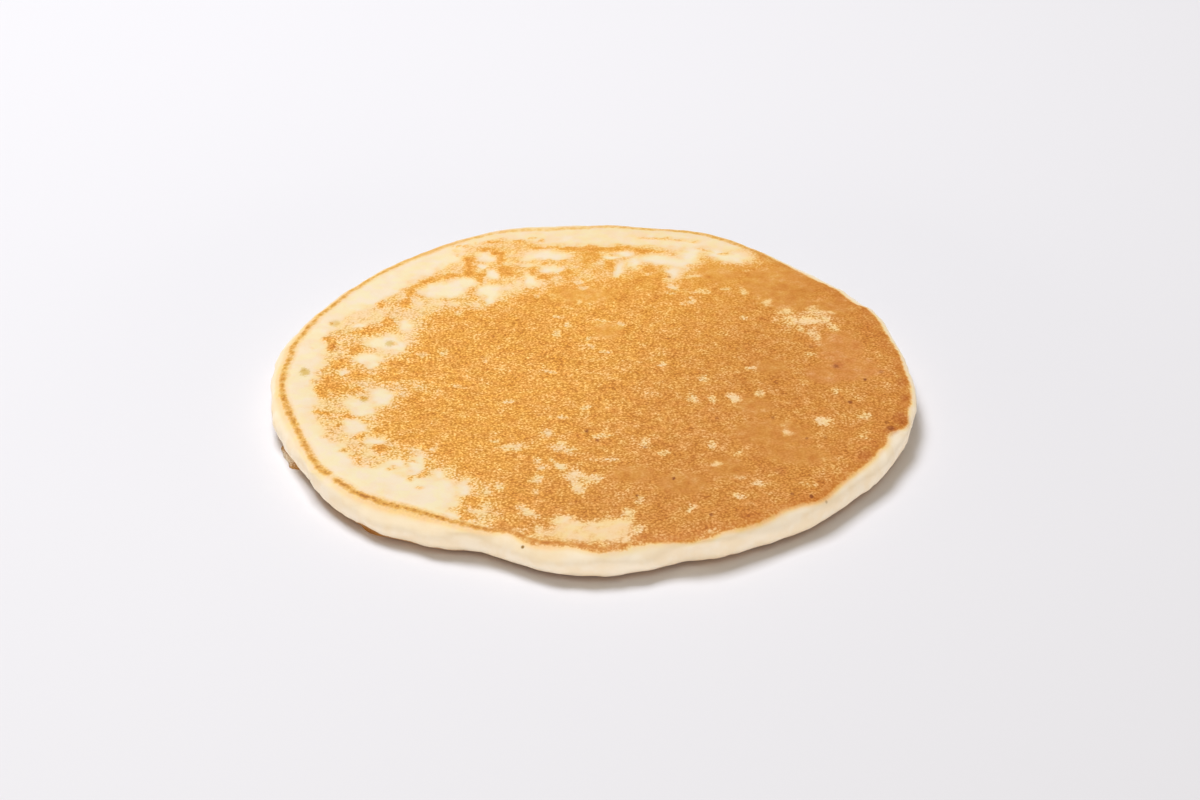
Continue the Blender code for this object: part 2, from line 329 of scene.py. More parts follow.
# Patches on it, in the order they are laid on: how brown they are, from -1 for pale crumb to 1,
# then the x, y, length along x, width along y and anticlockwise turn in degrees of each.
PATCHES = (
    (-0.24, (
        (-58, -18, 7, 12, 0), (-54, -24, 10, 8, 0), (-58, -29, 5, 10, 8), (-53, -37, 7, 10, 20),
        (-60, 11, 6, 12, 0), (-26, 58, 16, 12, 0), (-34, 50, 10, 8, 20), (-47, 33, 10, 6, 40),
        (-41, -46, 8, 5, 0), (10, 62, 14, 6, 0),
    )),
    (0.0, (
        (50, 28, 13, 8, 15), (-57, 0, 10, 12, 0), (-58, -7, 12, 13, 0), (-55, 10, 9, 9, 0),
        (-52, 18, 10, 6, 0), (-58, 12, 3, 5, 0), (-20, 50, 22, 14, 0), (-3, 54, 20, 14, 0),
        (-32, 33, 12, 5, 0), (-57, -23, 9, 5, 0), (-43, -9, 14, 7, 0), (-26, -60, 8, 12, 0),
        (-51.5, -42, 3, 5, 20), (-44, -41, 4, 3, 0), (-20, 63, 10, 6, 0), (18, 61, 5, 5, 0),
        (-30, 38, 3, 9, 0),
    )),
    (0.50, (
        (-26, 65.2, 6, 1.5, 3), (-34, 63, 4, 1.3, 15), (-13.5, 62.4, 7, 1.5, 8),
        (3, 62.2, 22, 2.8, 2), (-6, 61.6, 5, 2.4, 0), (12, 61.6, 7, 2.6, 0), (-1, 57.5, 4, 7, 0),
        (-31.3, 53.5, 2.6, 8, 3), (-31, 48, 2.8, 5, 0), (-35.5, 46.4, 8, 2.4, 12),
        (-40.5, 44, 5, 3, 35), (-43.2, 41.4, 4, 3, 45), (-44.6, 38.3, 2.8, 5, 0),
        (-42, 36.2, 4, 1.8, -30), (-45.3, 31.8, 2.4, 4, 0), (-51.7, 31, 2, 6, 20),
        (-28, 45.7, 2, 7, -5), (-22, 51, 4, 2, 0), (-22, 48.5, 5, 4, 0), (-23.7, 57, 2.4, 7, 5),
        (-27, 60.8, 4, 2, 0), (-18.5, 57.8, 3, 3.5, 0), (-15.8, 49.5, 2.4, 5, 0),
        (-13, 53.5, 4, 1.6, 15), (-12.5, 46, 3, 4, 0), (-7.5, 47, 4, 5, 0), (-9, 55.3, 6, 1.6, 10),
        (3.7, 53, 2, 6, 0), (-49, 21.5, 2.4, 6, 10), (-53, 17.6, 8, 2.6, 20), (-55.5, 8, 3, 5, 0),
        (-61.4, 9.5, 2, 4.5, 0), (-62.5, 13, 2.4, 2, 0), (-58.3, 2.5, 4, 2.6, 15),
        (-59.5, 0, 2, 2, 0), (-54, -3, 5, 4, 0), (-59.5, -7, 6, 6, 0), (-61.5, -10, 3.5, 4, 0),
        (-57, -10.5, 7, 3, 0), (-61.6, -13.5, 1.6, 4, 0), (-52, -14.6, 2.4, 1.3, -10),
        (-54.3, -22.5, 2, 3.5, 0), (-60.7, -21.6, 3, 1.6, -25), (-50.6, -25.3, 2.4, 1.2, 0),
        (-51.2, -33, 1.5, 4.5, 5), (-46, -37.8, 4, 3.6, -35), (-40.4, -42, 1.6, 5, 0),
        (-36.2, -45, 1.7, 7, 5), (-37.4, -48.2, 2.4, 1.6, 30), (-38.8, -50, 1.5, 3.4, 0),
        (-25, -58.5, 4, 6, 0), (-26.6, -64, 2, 4, 0), (-28, -62.5, 3, 2, 0),
    )),
    (-0.98, (
        (-54, 38, 9, 16, -38), (-59.5, -37, 5, 12, 25), (7.2, 59.3, 3, 2.4, 0),
        (4, 57.2, 4, 1.8, 0), (6, 51, 2.2, 6, -12), (9.5, 55, 2.2, 4.6, -10),
        (15.5, 57.4, 7, 4.4, 0), (23.5, 60, 5, 10, -12), (20, 56, 6, 4, 0),
        (19.4, 50.5, 2.4, 5, -8), (33.5, 60, 8, 5, 0), (30, 62.5, 5, 4, 0),
        (-11, 50.5, 5.4, 3.6, 0), (-12.5, 57.6, 13, 4.8, 0), (-16, 44.3, 2.6, 7.4, 12),
        (-25.4, 47.6, 2.8, 4.6, 0), (-28, 52.2, 2, 3, 0), (-27.6, 57, 4.6, 3, -15),
        (-37, 39.5, 11.5, 7.4, 12), (-31.8, 43, 5, 3.6, 0), (-25.6, 38.7, 5.6, 6.4, 0),
        (-25.2, 34.6, 2.8, 4, 0), (-45, 20.6, 2.6, 4.6, 0), (-48.5, 12.4, 9, 6, 0),
        (-45, 10.5, 3, 4, 0), (-52.7, 4.2, 6, 4.6, 0), (-51, 1.5, 3, 3, 0),
        (-57.6, -2, 2.6, 2.6, 0), (-48, -13.2, 3.8, 7.6, 0), (-52.6, -17.6, 5.6, 5, 0),
        (-51.4, -21, 4, 3.4, 0), (-53, -27.8, 4.8, 6.2, 0), (-48.3, -34, 5, 2.6, -10),
        (-43, -43.4, 5, 3.6, 0), (-38, -44, 3, 8, 0), (-33.2, -47.4, 2.2, 3.6, 0),
        (-56, -41, 6, 14, 30), (-46, -48, 14, 6, 10), (-37.5, -55.5, 17, 10, -15),
        (-27.1, -52.8, 2.2, 5, -8), (-31.5, -52, 4, 5, 0), (-29.2, -64, 1.7, 3.4, 0),
        (-56, 20, 3, 2.4, 30),
    )),
    (-0.52, (
        (-1.5, -70.4, 22, 8, 1), (-4.8, -67.2, 8, 6, 12), (0.6, -66.6, 3, 3, 0),
        (5.6, -67.6, 9.4, 7.4, -8), (8, -62.6, 3, 4.4, 0), (-6, -64.5, 5, 3.6, 0),
        (10.8, -68.3, 3, 3, 0), (-3.4, -47.5, 5, 4.6, 0), (-3, -51.5, 3, 6, 8),
        (1, -47.8, 4, 3, 0), (-11.8, -48.6, 3.4, 3.8, 0), (-6.9, -42.6, 5.4, 1.8, -48),
        (-13.2, -61.6, 6.6, 1.8, -50), (-24, -62.4, 4.4, 3, 0), (-17, -35.8, 5.4, 2.8, 10),
        (-10, -29.4, 3.2, 3.4, 0), (-38.2, -38, 3, 2.6, 0), (-34, 32.6, 3.4, 2.4, 0),
        (-29.4, 32.3, 3, 2, 0), (-38, 32.5, 3, 3, 0), (-42.6, 32, 1.8, 3.4, 0),
        (52, 27.2, 6.4, 3.4, 0), (50, 28, 4, 2.4, 30), (32, -12.5, 2.8, 3.8, 0),
        (52, -21.8, 3, 4, 0), (-17, 53, 5.6, 2.4, 0), (-21.6, 54, 2.4, 2.4, 0),
        (-4.4, 43.6, 3.2, 2.4, 0), (19, 42, 2, 3.4, 30), (15, 60.6, 4.6, 1.4, 0),
        (21, 62.4, 4, 4, 0),
    )),
    (-0.27, (
        (-52.6, -7.6, 5, 2.8, 0), (-43, -11.6, 3, 2.4, 0), (-44.6, -35.4, 2, 3, 0),
        (-6.6, -34.2, 3, 2, 0), (-7.5, -36, 4.4, 2.2, 0), (-4.4, -36.6, 2, 2.6, 0),
        (2.6, -29.8, 5.6, 1.7, 0), (12.3, -33.4, 2.4, 4, 0), (16.3, -37, 2.4, 2, 0),
        (26.2, -33.4, 1.6, 3.6, 0), (27.8, -41.6, 2.2, 2, 0), (2.6, -40.5, 6, 1.4, 5),
        (-11.9, -41.2, 2, 3, 0), (-10.8, -44, 1.8, 3, 0), (32.6, -36.2, 2, 2, 0),
        (32.2, -55.4, 3, 2, 0), (32.4, -46.6, 3.6, 1.3, 35), (36.6, -49, 2.6, 2, 0),
        (47.4, -49.2, 3.4, 1.6, 0), (55.8, -7.6, 2, 2.8, 0), (61.3, -19.3, 3.4, 2.8, -40),
        (43.4, -26.6, 4, 1.6, -55), (38, -10, 2.6, 3.6, 0), (22.6, -13, 3, 4, 0),
        (27.3, -14, 1.8, 3.6, 0), (25.5, -3.6, 2, 4, -20), (-8.4, 17.7, 2, 3.4, 0),
        (-6.2, 22.4, 2, 3, 0), (2, 24.4, 3.6, 1.4, -20), (6.5, 22.4, 1.5, 3.4, 0),
        (3.2, 8.6, 2.6, 1.8, 0), (-0.6, 11.6, 1.6, 2, 0), (-1, 15.4, 1.4, 2.6, 0),
        (15.8, 3.6, 1.6, 2, 0), (21.7, 33.6, 1.6, 2, 0), (23.6, 36, 2, 3, 0), (18.4, 39, 2, 2, 0),
        (26.4, 40.5, 4, 2.6, 0), (32, 42.3, 2, 1.6, 0), (36, 41, 1.6, 5, 0),
        (37.8, 52.4, 2.6, 1.6, 0), (24, 48.4, 2.6, 1.8, 0), (18, 46.3, 2.6, 1.8, 0),
        (35.8, 27.8, 1.6, 2.6, 0), (36.4, 2, 1.8, 2.4, 0), (53, 31.8, 3.6, 4, 0),
        (52.4, 19.6, 2.6, 7, 3), (46, 31.5, 4, 2.4, 40), (47.4, 28.6, 3, 2, 0),
        (56.8, 23.4, 2.4, 3, 0), (57, 31, 2.4, 1.6, 0), (49.2, 22.6, 2, 3, 0),
        (55.6, 27, 2.4, 3, 0), (51, 10.2, 2.4, 1.4, 0), (42, 35.6, 2, 3, 0), (-9, 45, 2.6, 2.6, 0),
        (-5.4, 51.4, 2.6, 1.8, 0), (-2.4, 48.6, 2.6, 2.4, 0), (1, 54, 2.6, 2.6, 0),
        (7, 56, 3.4, 1.5, 0), (13.5, 49, 3, 2, 0), (-3, 41, 3.4, 1.5, 0), (-32.3, 27, 2, 3, 0),
        (-34.4, -37, 2, 2, 0), (-22.6, -53.6, 1.8, 2.4, 0), (-19.6, -52, 1.8, 3, 0),
        (-12, -54, 2, 2.2, 0), (-35, 8, 2, 3, 0), (-21, -33, 3, 2, 0), (10.8, -57, 2.4, 3.4, 0),
        (21.5, -60, 1.4, 3, 0), (26, -68.8, 3.4, 1.6, 25), (-47, 12.6, 1.8, 2, 0),
        (-31, -8, 2.6, 2.2, 0), (-19, -15.2, 2.6, 2.4, 0), (-6.6, -22.6, 2.8, 1.8, 0),
        (-10, -1, 2.2, 2.2, 0), (-1.4, -17.4, 2.2, 1.8, 0), (-25, 3.5, 1.8, 1.8, 0),
        (-40.4, 6.6, 3, 2, 0), (-14.5, 36.6, 2.4, 2.6, 0), (-4, 34, 2, 2, 0),
        (-8.5, 26.6, 3, 2, 0),
    )),
    (-0.02, (
        (-24.3, 66.8, 4.6, 1.5, 0), (-25.6, 66.6, 1.4, 1.6, 0), (-29, 64.6, 2.4, 1.5, 25),
        (-31, 63.4, 2, 1, 35), (-17.4, 61.8, 3, 1.1, 0), (-13.8, 67, 1.2, 1.8, 0),
        (-16.3, 67.4, 1.3, 1.6, 0), (-34.4, 58.6, 1.2, 1.4, 0), (-46.6, 39, 1.5, 2.2, 0),
        (16.4, 64, 1.6, 2, 0), (32.3, 61.8, 2.2, 2, 0), (25, 68.2, 1.6, 1.2, 0),
        (17, 69.3, 12, 1.8, -4), (27, 63.6, 5, 0.8, -32), (6, 65.7, 1.4, 1.6, 0),
        (-59, -32.4, 1.6, 1.8, 0), (-57.4, -27, 1.2, 5, 5), (-58.4, -24, 1.4, 2, 0),
        (-54.4, -38, 2.2, 2.2, 0), (-52, -41, 2.2, 1.6, 0), (-50.4, -43, 1.4, 2.2, 0),
        (-48.1, -45, 0.9, 1.4, 0), (-45.7, -43.2, 0.9, 1.4, 0), (-46.7, -41.6, 0.9, 1.2, 0),
        (-43.4, -45.8, 2, 1.5, 0), (-37, -53.2, 1.1, 1.3, 0), (-38.6, -42.4, 1, 1.2, 0),
        (-60.2, 17, 1.2, 1.5, 0), (-58, 16.2, 1.3, 1.4, 0), (-62, 20.4, 1, 1.4, 0),
        (-57.6, 21.7, 1, 1.2, 0), (-62, -2.6, 1.4, 1.2, 0), (-48.6, 28.2, 1.6, 1, 0),
        (-46, 28, 1.2, 1, 0), (-66.5, 8, 1, 0.8, 0), (-26, 50.4, 1, 1, 0),
        (-24.6, 44.4, 2, 1.4, 0), (9.3, -66.4, 1.6, 1.6, 0), (61.2, -28.2, 1.3, 2.6, 0),
        (-8, -73.6, 12, 3, -8), (5, -75, 14, 3, 4),
    )),
)


def side_distance(spots, line):
    """How far each spot lies inside the closed line, negative outside."""
    nearest = np.full(len(spots), 1e9)
    within = np.zeros(len(spots), dtype=bool)
    for start, end in zip(line, line[1:] + line[:1]):
        start, end = np.array(start, float), np.array(end, float)
        step = end - start
        part = np.clip((spots - start) @ step / (step @ step), 0.0, 1.0)
        gap = spots - start - part[:, None] * step
        nearest = np.minimum(nearest, np.hypot(gap[:, 0], gap[:, 1]))
        crosses = (start[1] > spots[:, 1]) != (end[1] > spots[:, 1])
        if step[1]:
            where = start[0] + (spots[:, 1] - start[1]) * step[0] / step[1]
            within ^= crosses & (spots[:, 0] < where)
    return np.where(within, nearest, -nearest)


PATCH_SOFTNESS = 0.6
LEAST_BLUR = 0.8
MOST_BLUR = 3.0


def oval_cover(spots, patch, uneven=0.0):
    """1 inside one turned oval patch and 0 outside, with a soft and perhaps uneven edge."""
    x, y, length, width, turn = patch
    turn = math.radians(turn)
    away_x, away_y = spots[:, 0] - x, spots[:, 1] - y
    along = (away_x * math.cos(turn) + away_y * math.sin(turn)) / (length / 2)
    across = (away_y * math.cos(turn) - away_x * math.sin(turn)) / (width / 2)
    blur = min(max(PATCH_SOFTNESS * min(length, width), LEAST_BLUR), MOST_BLUR)
    depth = 1.0 - np.hypot(along, across) + uneven
    return ease(depth * min(length, width) / 2 / blur + 0.5)


# The browning's edges wander, its patches are uneven, its half-browned parts are flecked and all
# of it is a little mottled, in layers as above and in millimetres.
DRIFT_X = ((0.8, 5.0, 11.3), (0.8, 2.2, 17.9), (0.5, 1.2, 61.7))
DRIFT_Y = ((0.8, 5.0, 23.1), (0.8, 2.2, 29.7), (0.5, 1.2, 67.3))
PATCH_UNEVENNESS = ((0.30, 2.4, 83.3), (0.25, 1.2, 89.1))
FLECKS = ((0.22, 3.2, 53.9), (0.30, 1.5, 59.3))
MOTTLE = ((0.10, 4.5, 73.1), (0.08, 2.0, 79.7))
REAR_START = 60.0
REAR_BLUR = 10.0
LACE_REACH = 1.0
LACE_BLUR = 3.5
BROWN_REACH = 2.5
BROWN_BLUR = 6.5

plan = points / MM
spots = plan[:, :2] + np.stack([layered(plan, DRIFT_X), layered(plan, DRIFT_Y)], axis=1)
rear = ease((spots[:, 1] - REAR_START) / REAR_BLUR)
lace = ease((side_distance(spots, LACE_SIDE) + LACE_REACH) / LACE_BLUR)
dense = ease((side_distance(spots, BROWN_SIDE) + BROWN_REACH) / BROWN_BLUR)
uneven = layered(plan, PATCH_UNEVENNESS)
level = CRESCENT_LEVEL + (REAR_LEVEL - CRESCENT_LEVEL) * rear
level += (LACE_LEVEL - level) * lace
level += (BROWN_LEVEL - level) * dense
for target, patches in PATCHES:
    for patch in patches:
        level += (target - level) * oval_cover(spots, patch, uneven)
unsettled = 1.0 - np.clip(np.abs(level), 0.0, 1.0) ** 3
level += layered(plan, FLECKS) * unsettled
level += layered(plan, MOTTLE)

# Areas where the crust is smoother, and the ones of them that get a painted sheen, which makes
# them paler and rosier, in the patches' terms.
SMOOTH_AREAS = (
    (58, 14, 11, 15, 0), (60, 3, 13, 11, 0), (54, 0, 9, 9, 0), (40, -28, 18, 12, 0),
    (45, -37, 16, 8, 0), (9, -46, 10, 7, 0), (20, -50, 12, 10, 0), (45, 45, 18, 18, 0),
    (47, 36, 14, 8, 0), (41, 3, 8, 8, 0), (30, -43, 8, 10, 0), (37, -16, 8, 10, 0),
    (-3, 37, 14, 8, 0), (3, 20, 8, 8, 0), (30, 50, 12, 8, 0), (58, 34, 8, 10, 0),
    (-1.5, -70.6, 20, 6.4, 1), (-4.8, -67.2, 7, 5, 12), (5.6, -67.6, 8.4, 6.4, -8),
)
SHEEN_AREAS = (
    (58, 13, 12, 15, 0), (60, 3, 14, 11, 0), (54, 0, 9, 9, 0),
)
smooth = np.zeros(len(plan))
rosy = np.zeros(len(plan))
for patch in SMOOTH_AREAS:
    smooth = np.maximum(smooth, oval_cover(spots, patch))
for patch in SHEEN_AREAS:
    rosy = np.maximum(rosy, oval_cover(spots, patch))

# Slow swells of the top: the way each one runs in degrees, its wavelength, its phase in degrees
# and its height.
TOP_SWELLS = (
    (20, 95 * MM, 40, 0.22 * MM),
    (110, 70 * MM, 200, 0.16 * MM),
    (65, 48 * MM, 90, 0.10 * MM),
)

# The top's relief: slow swells, small lumps, and the pale crumb a little below the crust.
PALE_DEPTH = 0.18 * MM
PALE_LEVEL = 0.2
PALE_INSET = 2 * MM
TOP_LUMP = 0.10 * MM
TOP_LUMP_SIZE = 6 * MM
CRUST_GRAIN = 0.05 * MM
CRUST_GRAIN_SIZE = 1.3 * MM
LIP_HEIGHT = 0.12 * MM
LIP_WIDTH = 1.6 * MM

raised = ease((height - WIDEST_HEIGHT) / (THICKNESS - WIDEST_HEIGHT))
relief = TOP_LUMP * rough(points, TOP_LUMP_SIZE, 41.3)
relief += CRUST_GRAIN * rough(points, CRUST_GRAIN_SIZE, 47.1)
for way, wavelength, phase, amplitude in TOP_SWELLS:
    turn = math.radians(way)
    along = points[:, 0] * math.cos(turn) + points[:, 1] * math.sin(turn)
    relief += amplitude * np.sin(math.tau * along / wavelength + math.radians(phase))
relief -= PALE_DEPTH * ease(PALE_LEVEL - level) * ease(inside / PALE_INSET)
relief += LIP_HEIGHT * np.exp(-((inside / LIP_WIDTH) ** 2))
points[:, 2] += raised * relief

# How strong the brown line inside the crust's edge is, and the golden fringe outside it, which
# goes on as a faint haze down the wall. At the front right the fringe alone is stronger.
RING_STRENGTH = 0.87
RING_LOBES = (
    (220.8, -0.70, 0.7),
    (100, -0.32, 32),
    (142, -0.04, 20),
    (236, 0.10, 14),
    (300, -0.20, 25),
    (355, -0.55, 40),
)
FRINGE_STRENGTH = 0.12
FRINGE_LOBES = (
    (238, 0.42, 14),
    (190, 0.24, 20),
    (164, 0.25, 16),
    (221, -0.30, 1.2),
    (262, 0.28, 8),
    (126, 0.45, 14),
)
GOLDEN_LOBES = ((312, 0.56, 26),)

# The browned underside shows as a thin line at the foot of the wall. It is thicker at the lower
# left, and paler on the flake that stands out beside that.
FOOT_LINE = 1.2 * MM
FOOT_LINE_BLUR = 0.9 * MM
FOOT_LINE_LOBES = ((231, 0.5 * MM, 9),)
FLAKE_LOBES = ((202.5, 0.6, 5),)
FLAKE_RUN = 2 * MM
FLAKE_BLUR = 1 * MM

# The brown deepens from the rear left to the front right, in millimetres.
TONE_LEAN = 0.45
TONE_START = -15.0
TONE_SPAN = 60.0

# The shape is fitted back to the frame's own box, and the layers go on the mesh.
low, high = (np.array(corner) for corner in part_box("pancake"))
points -= points.min(axis=0)
points *= (high - low) / points.max(axis=0)
points += low
pancake_mesh.vertices.foreach_set("co", points.ravel())
keep_layer(pancake_mesh, "level", level)
keep_layer(pancake_mesh, "inside", inside / MM)
tone_run = plan[:, 0] - TONE_LEAN * plan[:, 1] - TONE_START
keep_layer(pancake_mesh, "tone", ease(tone_run / TONE_SPAN))
keep_layer(pancake_mesh, "smooth", smooth)
keep_layer(pancake_mesh, "rosy", rosy)
keep_layer(pancake_mesh, "ring", RING_STRENGTH + lobes_at(RING_LOBES, bearing))
haze = FRINGE_STRENGTH + lobes_at(FRINGE_LOBES, bearing)
keep_layer(pancake_mesh, "haze", haze)
keep_layer(pancake_mesh, "fringe", haze + lobes_at(GOLDEN_LOBES, bearing))
foot_line = FOOT_LINE + lobes_at(FOOT_LINE_LOBES, bearing)
foot_run = run[height < MERGE_DISTANCE].min()
flake = lobes_at(FLAKE_LOBES, bearing) * ease((foot_run + FLAKE_RUN - run) / FLAKE_BLUR)
browned_foot = np.clip(0.5 + (foot_line - points[:, 2]) / FOOT_LINE_BLUR, 0.0, 1.0)
keep_layer(pancake_mesh, "underside", browned_foot * (1.0 - flake))
pancake_mesh.attributes.remove(pancake_mesh.attributes["run"])
pancake_mesh.shade_smooth()
pancake_mesh.update()


class Shade:
    """One output of a node, so that a pattern of the material is written as a sum."""

    def __init__(self, tree, socket=None):
        self.tree = tree
        self.socket = socket

    def node(self, kind, settings=None, sockets=None, output=0):
        """Adds a node: its settings first, then the values or links of its sockets."""
        made = self.tree.nodes.new(kind)
        for name, value in (settings or {}).items():
            if name == "stops":
                while len(made.color_ramp.elements) < len(value):
                    made.color_ramp.elements.new(1.0)
                for element, (position, colour) in zip(made.color_ramp.elements, value):
                    element.position = position
                    element.color = colour
            else:
                setattr(made, name, value)
        for name, value in (sockets or {}).items():
            if isinstance(value, Shade):
                self.tree.links.new(value.socket, made.inputs[name])
            else:
                made.inputs[name].default_value = value
        return Shade(self.tree, made.outputs[output])

    def sum(self, operation, first, second):
        """One Math node on two numbers."""
        return self.node("ShaderNodeMath", {"operation": operation}, {0: first, 1: second})

    def __add__(self, other):
        return self.sum("ADD", self, other)

    def __radd__(self, other):
        return self.sum("ADD", other, self)

    def __sub__(self, other):
        return self.sum("SUBTRACT", self, other)

    def __rsub__(self, other):
        return self.sum("SUBTRACT", other, self)

    def __mul__(self, other):
        return self.sum("MULTIPLY", self, other)

    def __rmul__(self, other):
        return self.sum("MULTIPLY", other, self)

    def ease(self, low, high):
        """0 below low, 1 above high, and a smooth step between; low may be the larger."""
        sockets = {0: self, 1: low, 2: high}
        return self.node("ShaderNodeMapRange", {"interpolation_type": "SMOOTHSTEP"}, sockets)

    def mix(self, first, second):
        """The first colour where this is 0, and the second where it is 1."""
        sockets = {0: self, 6: first, 7: second}
        return self.node("ShaderNodeMix", {"data_type": "RGBA"}, sockets, output=2)

    def distance(self, centre):
        """How far this place is from the centre."""
        settings = {"operation": "DISTANCE"}
        return self.node("ShaderNodeVectorMath", settings, {0: self, 1: centre}, output="Value")

    def larger(self, other):
        """The larger one of this and the other."""
        return self.sum("MAXIMUM", self, other)

    def times(self, other):
        """This colour, tinted with the other."""
        settings = {"data_type": "RGBA", "blend_type": "MULTIPLY"}
        return self.node("ShaderNodeMix", settings, {0: 1.0, 6: self, 7: other}, output=2)


GAMMA = 2.2


def linear(red, green, blue, share):
    """A shader colour from an sRGB colour of 0 to 255, dimmed to a share of its light."""
    return (*(share * ((part / 255) ** GAMMA) for part in (red, green, blue)), 1.0)


crust_material = bpy.data.materials.new("browned_crust")
crust_material.use_nodes = True
crust_tree = crust_material.node_tree
crust_shader = crust_tree.nodes["Principled BSDF"]
paint = Shade(crust_tree)
place = paint.node("ShaderNodeTexCoord", output="Object")


def layer(name):
    """A number that the mesh keeps for each point."""
    return paint.node("ShaderNodeAttribute", {"attribute_name": name}, output="Fac")


def cloud(size, detail=2.0):
    """Noise of about 0 to 1 with humps about as wide as size in millimetres."""
    sockets = {"Vector": place, "Scale": 1.0 / (size * MM), "Detail": detail}
    return paint.node("ShaderNodeTexNoise", None, sockets)


def cells(size):
    """Distance from the middle of the nearest of many small rounds, about size apart."""
    sockets = {"Vector": place, "Scale": 1.0 / (size * MM), "Randomness": 1.0}
    settings = {"voronoi_dimensions": "2D"}
    return paint.node("ShaderNodeTexVoronoi", settings, sockets, output="Distance")


# Small dark specks on the face: x, y and width in millimetres, and how dark they are.
SPECKS = (
    (56.5, 4.2, 1.8, 0.55), (62.8, -2.0, 1.2, 0.9), (58.6, -12.8, 1.5, 0.8),
    (-1.2, -28, 1.5, 0.8), (1.2, -32, 1.3, 0.8), (11.8, -34.8, 1.1, 0.6), (18, -47.8, 1.2, 0.9),
    (47.5, -54, 1.3, 0.9), (43.4, -53.4, 1.2, 0.7), (10, -55, 1.0, 0.7), (25.7, -62.8, 1.3, 0.7),
    (67, -24.2, 2.2, 0.55), (47.8, -29.7, 1.0, 0.6), (18.2, 47.6, 1.1, 0.5),
    (66.8, 1.8, 1.6, 0.4), (51.2, 13.5, 1.6, 0.35), (40.6, -21, 1.4, 0.35),
    (66.3, -21.6, 1.6, 0.4), (52, -29, 1.4, 0.35), (28, -22, 1.3, 0.35), (12.5, -16, 1.3, 0.3),
    (-26, 6, 1.3, 0.3), (-12, -21, 1.2, 0.3), (34, 12, 1.2, 0.3), (22, 20, 1.2, 0.3),
)

# Reddish scorches, and olive stains on the pale crescent, in the same terms.
SCORCHES = (
    (57, 5, 4.2, 0.6), (69.6, -19.4, 6.0, 0.9), (67.0, -25.2, 4.6, 0.9),
    (71.0, -2.6, 3.4, 0.5), (71.2, -9.8, 3.0, 0.7), (-61.4, 9.5, 3.4, 0.6),
    (41.5, -43.5, 4.0, 0.5), (60.5, -36.0, 5.0, 0.6),
)
STAINS = (
    (-66.4, -2.8, 3.4, 0.70), (-66.9, -1.4, 2.0, 0.42), (-61.6, 21, 3.4, 0.42),
    (-60.2, 16.8, 1.8, 0.5), (-57.9, 16.4, 1.6, 0.5), (-62, -2.6, 1.8, 0.42),
    (-48, 12, 3.0, 0.6), (-51.9, -14.8, 2.6, 0.7),
)

# Small dark specks on the wall, and painted shade in its small pits and holes, which the mesh
# doesn't
# carry: x, y, z and width in millimetres, and how dark they are.
WALL_SPECKS_AND_PIT_SHADE = (
    (-13.95, -73.9, 6.3, 0.9, 0.95), (50.7, -54.2, 6.5, 0.9, 0.45), (30, -70, 4.6, 1.0, 0.3),
    (-40, -66.5, 4.5, 1.0, 0.3), (-62, -41, 4.4, 1.0, 0.3),
)

# The crust's colour from pale crumb to deep brown, and the tints that vary it. A tint multiplies
# the colour below it.
LIGHT_SHARE = 0.86
WALL_LIGHT_SHARE = 0.94
BROWNING = (
    (0.00, linear(253, 236, 200, LIGHT_SHARE)),
    (0.10, linear(253, 229, 184, LIGHT_SHARE)),
    (0.25, linear(255, 219, 160, LIGHT_SHARE)),
    (0.40, linear(255, 208, 136, LIGHT_SHARE)),
    (0.55, linear(249, 191, 106, LIGHT_SHARE)),
    (0.70, linear(240, 171, 76, LIGHT_SHARE)),
    (0.85, linear(227, 151, 55, LIGHT_SHARE)),
    (1.00, linear(198, 120, 36, LIGHT_SHARE)),
)
WHITE = (1.0, 1.0, 1.0, 1.0)
RIGHT_TINT = (0.82, 0.735, 0.80, 1.0)
# A painted sheen on the smooth crust at the right, which makes it paler and rosier.
SHEEN_TINT = (1.03, 1.01, 1.22, 1.0)
EDGE_TINT = (0.97, 0.90, 0.86, 1.0)
DEEP_TINT = (1.07, 1.02, 0.63, 1.0)
WARM_TINT = (1.0, 1.01, 0.95, 1.0)
ROSY_TINT = (1.0, 0.98, 1.05, 1.0)
HAZE_TINT = (0.93, 0.82, 0.58, 1.0)
RING_TINT = (0.90, 1.06, 1.40, 1.0)
WALL = linear(249, 237, 218, WALL_LIGHT_SHARE)
WALL_SHADE = linear(246, 229, 202, WALL_LIGHT_SHARE)
SPECK_TINT = (0.36, 0.18, 0.0, 1.0)
SCORCH_TINT = (0.80, 0.62, 0.52, 1.0)
# The wall's dark specks, and the painted shade in its small pits and holes.
SPECK_AND_PIT_SHADE_TINT = (0.28, 0.17, 0.0, 1.0)
STAIN_TINT = (0.70, 0.53, 0.0, 1.0)
UNDERSIDE = linear(212, 156, 88, LIGHT_SHARE)
UNDERSIDE_DARK = linear(176, 120, 62, LIGHT_SHARE)

# Sizes of the crust's pattern in millimetres, how ragged the brown's edge and the ring are in
# millimetres, how much the smooth areas damp the grain, and how much the rear does.
BUBBLE_SIZE = 0.8
GRANULE_SIZE = 0.65
PATCHY_SIZE = 2.2
FINE_SIZE = 0.42
TATTER_SIZE = 1.3
RAGGED_EDGE = 1.1
RAGGED_RING = 0.6
SMOOTHING = 0.65
REAR_CALM = 0.45
EDGE_WANDER = 8.0

browning = layer("level")
edge = layer("inside")
tone = layer("tone")
smooth_crust = layer("smooth")
painted_sheen = layer("rosy")
ring_strength = layer("ring")
fringe_strength = layer("fringe")
haze_strength = layer("haze")
underside = layer("underside")
rearward = place.node("ShaderNodeSeparateXYZ", None, {"Vector": place}, output="Y")
bubbles = cells(BUBBLE_SIZE)
granules = cloud(GRANULE_SIZE, 1.0)
patchy = cloud(PATCHY_SIZE, 3.0)
fine = cloud(FINE_SIZE)

# The middles of the tiny bubbles are light and their borders are browned.
light = 0.55 * bubbles.ease(0.45, 0.10) + 0.50 * granules.ease(0.36, 0.66)
grain = 0.40 - light + (fine - 0.5) * 0.9 + (patchy - 0.5) * 0.3
grain = grain.larger(0.34 * tone - 0.72)

